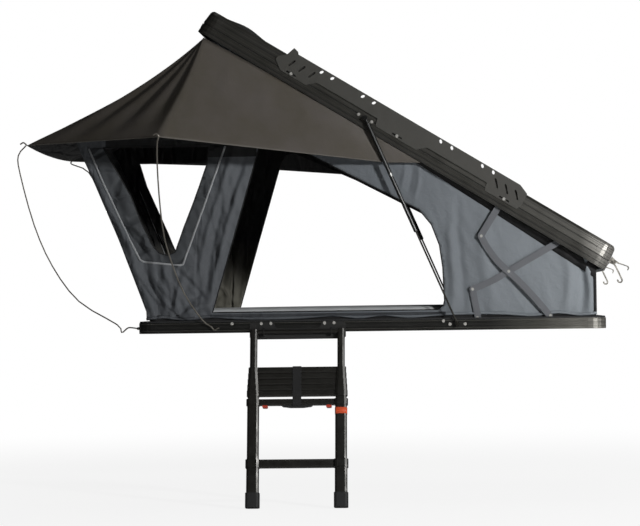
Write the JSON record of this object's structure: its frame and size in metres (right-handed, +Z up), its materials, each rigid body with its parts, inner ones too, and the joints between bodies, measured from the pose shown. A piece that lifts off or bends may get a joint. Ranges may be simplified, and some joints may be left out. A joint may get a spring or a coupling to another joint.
{
  "type": "roof top tent",
  "caption": "Hard-shell clamshell roof tent: tray, wedge-opening lid on scissor hinges and gas struts, fabric walls, fly on sprung rods, side rack plates, telescopic ladder.",
  "frame": {"origin": "centre of the tray's underside, where the tent rests on roof bars", "axes": "+Z up; +X towards the hinged foot end, -X the open end; -Y the near side, with the ladder"},
  "size_m": [2.836, 2.323, 2.2889],
  "materials": {
    "black_extrusion": "black anodised, satin",
    "black_plastic": "moulded, grained",
    "black_sheet": "black powder coat on sheet",
    "fly_cloth": "dark brown-grey coated weave, matt",
    "foam": "grey mattress cover, soft",
    "grey_arm": "grey coated steel",
    "panel": "black faced honeycomb panel",
    "red_plastic": "moulded, semi-gloss",
    "rubber": "matt black",
    "steel": "bright stainless",
    "wall_cloth": "grey coated canvas, matt"
  },
  "bodies": {
    "base": {"base_end_front": "black_extrusion", "base_end_rear": "black_extrusion", "base_floor": "panel", "base_rail_far": "black_extrusion", "base_rail_near": "black_extrusion", "fly": "fly_cloth", "ladder_bracket": "black_sheet", "lid_seal": "rubber", "mattress": "foam", "mounting_track_far": "steel", "mounting_track_near": "steel", "wall_far": "wall_cloth", "wall_front": "wall_cloth", "wall_near": "wall_cloth", "wall_rear": "wall_cloth"},
    "lid": {"latch_body_far": "steel", "latch_body_near": "steel", "lid_end_front": "black_extrusion", "lid_end_rear": "black_extrusion", "lid_rail_far": "black_extrusion", "lid_rail_near": "black_extrusion", "lid_skin": "panel", "rack_plate_far": "black_sheet", "rack_plate_near": "black_sheet"},
    "arm_a": {"arm_a_near": "grey_arm", "arm_a_far": "grey_arm"},
    "arm_b": {"arm_b_near": "grey_arm", "arm_b_far": "grey_arm"},
    "link_a": {"link_a_near": "grey_arm", "link_a_far": "grey_arm"},
    "link_b": {"link_b_near": "grey_arm", "link_b_far": "grey_arm"},
    "strut_cylinders": {"strut_cylinder_near": "black_extrusion", "strut_cylinder_far": "black_extrusion"},
    "strut_rods": {"strut_rod_near": "steel", "strut_rod_far": "steel"},
    "front_rods": {"front_rod_near": "steel", "front_rod_far": "steel"},
    "side_rods": {"side_rod_near": "steel", "side_rod_far": "steel"},
    "latch_lever_near": {"latch_lever_near": "steel"},
    "latch_lever_far": {"latch_lever_far": "steel"},
    "latch_hook_near": {"latch_hook_near": "steel"},
    "latch_hook_far": {"latch_hook_far": "steel"},
    "ladder_top": {"ladder_section_8": "black_extrusion"},
    "ladder_7": {"ladder_section_7": "black_extrusion", "stack_strap": "black_plastic"},
    "ladder_6": {"ladder_section_6": "black_extrusion"},
    "ladder_5": {"ladder_section_5": "black_extrusion"},
    "ladder_4": {"ladder_section_4": "black_extrusion"},
    "ladder_3": {"ladder_section_3": "black_extrusion"},
    "ladder_2": {"ladder_section_2": "black_extrusion", "carry_grip": "black_plastic"},
    "ladder_1": {"ladder_section_1": "black_extrusion", "ladder_foot_left": "rubber", "ladder_foot_right": "rubber"},
    "release_left": {"release_slider_left": "red_plastic"},
    "release_right": {"release_slider_right": "red_plastic"}
  },
  "joints": [
    {"name": "lid_hinge", "type": "hinge", "parent": "base", "child": "lid", "pos_m": [1.43175, 0, 0.1232], "axis": [0, -1, 0], "range_deg": [0, 31.45], "deforming": ["wall_near", "wall_far", "wall_front", "wall_rear", "fly"]},
    {"name": "arm_a_pivot", "type": "hinge", "parent": "base", "child": "arm_a", "pos_m": [0.822, 0, 0.06], "axis": [0, -1, 0], "range_deg": [0, 48.4]},
    {"name": "link_b_pivot", "type": "hinge", "parent": "base", "child": "link_b", "pos_m": [0.49321, 0, 0.056], "axis": [0, -1, 0], "range_deg": [0, 72.75]},
    {"name": "arm_b_pivot", "type": "hinge", "parent": "lid", "child": "arm_b", "pos_m": [0.86137, 0, 0.39527], "axis": [0, -1, 0], "range_deg": [-61.99, 0]},
    {"name": "link_a_pivot", "type": "hinge", "parent": "lid", "child": "link_a", "pos_m": [0.59181, 0, 0.56013], "axis": [0, -1, 0], "range_deg": [-98.21, 0]},
    {"name": "strut_pivot", "type": "hinge", "parent": "lid", "child": "strut_cylinders", "pos_m": [-0.01263, 0, 0.98138], "axis": [0, -1, 0], "range_deg": [0, 29.2]},
    {"name": "strut_slide", "type": "slide", "parent": "strut_cylinders", "child": "strut_rods", "axis": [0.3964, 0, -0.9181], "range_m": [-0.3891, 0]},
    {"name": "front_rod_fold", "type": "hinge", "parent": "base", "child": "front_rods", "pos_m": [-1.0885, 0, 0.025], "axis": [0, -1, 0], "range_deg": [0, 50.5]},
    {"name": "side_rod_fold", "type": "hinge", "parent": "base", "child": "side_rods", "pos_m": [-0.702, 0, 0.024], "axis": [0, -1, 0], "range_deg": [-90, 0]},
    {"name": "latch_lever_near_pivot", "type": "hinge", "parent": "lid", "child": "latch_lever_near", "pos_m": [1.12816, -0.59, 0.30712], "axis": [0, -1, 0], "range_deg": [0, 60]},
    {"name": "latch_hook_near_pivot", "type": "hinge", "parent": "lid", "child": "latch_hook_near", "pos_m": [1.1219, -0.59, 0.29688], "axis": [0, -1, 0], "range_deg": [-35, 0]},
    {"name": "latch_lever_far_pivot", "type": "hinge", "parent": "lid", "child": "latch_lever_far", "pos_m": [1.12816, 0.59, 0.30712], "axis": [0, -1, 0], "range_deg": [0, 60]},
    {"name": "latch_hook_far_pivot", "type": "hinge", "parent": "lid", "child": "latch_hook_far", "pos_m": [1.1219, 0.59, 0.29688], "axis": [0, -1, 0], "range_deg": [-35, 0]},
    {"name": "ladder_tilt", "type": "hinge", "parent": "base", "child": "ladder_top", "pos_m": [0, -0.72, 0.003], "axis": [1, 0, 0], "range_deg": [-60, 13]},
    {"name": "ladder_7_slide", "type": "slide", "parent": "ladder_top", "child": "ladder_7", "axis": [0, -0.2419, -0.9703], "range_m": [-0.12, 0]},
    {"name": "ladder_6_slide", "type": "slide", "parent": "ladder_7", "child": "ladder_6", "axis": [0, -0.2419, -0.9703], "range_m": [0, 0.24]},
    {"name": "ladder_5_slide", "type": "slide", "parent": "ladder_6", "child": "ladder_5", "axis": [0, -0.2419, -0.9703], "range_m": [0, 0.24]},
    {"name": "ladder_4_slide", "type": "slide", "parent": "ladder_5", "child": "ladder_4", "axis": [0, -0.2419, -0.9703], "range_m": [0, 0.24]},
    {"name": "ladder_3_slide", "type": "slide", "parent": "ladder_4", "child": "ladder_3", "axis": [0, -0.2419, -0.9703], "range_m": [0, 0.24]},
    {"name": "ladder_2_slide", "type": "slide", "parent": "ladder_3", "child": "ladder_2", "axis": [0, -0.2419, -0.9703], "range_m": [0, 0.24]},
    {"name": "ladder_1_slide", "type": "slide", "parent": "ladder_2", "child": "ladder_1", "axis": [0, -0.2419, -0.9703], "range_m": [-0.18, 0]},
    {"name": "release_left_slide", "type": "slide", "parent": "ladder_2", "child": "release_left", "axis": [1, 0, 0], "range_m": [0, 0.008], "stiffness_N_per_m": 150},
    {"name": "release_right_slide", "type": "slide", "parent": "ladder_2", "child": "release_right", "axis": [-1, 0, 0], "range_m": [0, 0.008], "stiffness_N_per_m": 150}
  ],
  "couplings": [
    {"joint": "arm_a_pivot", "follows": "lid_hinge", "ratio": 1.5231},
    {"joint": "link_b_pivot", "follows": "lid_hinge", "ratio": 2.2972},
    {"joint": "arm_b_pivot", "follows": "lid_hinge", "ratio": -1.955},
    {"joint": "link_a_pivot", "follows": "lid_hinge", "ratio": -3.1067},
    {"joint": "strut_pivot", "follows": "lid_hinge", "ratio": 0.91259},
    {"joint": "front_rod_fold", "follows": "lid_hinge", "ratio": 1.5898},
    {"joint": "side_rod_fold", "follows": "lid_hinge", "ratio": -2.8458},
    {"joint": "strut_slide", "follows": "lid_hinge", "m_per_rad": -0.70516}
  ]
}
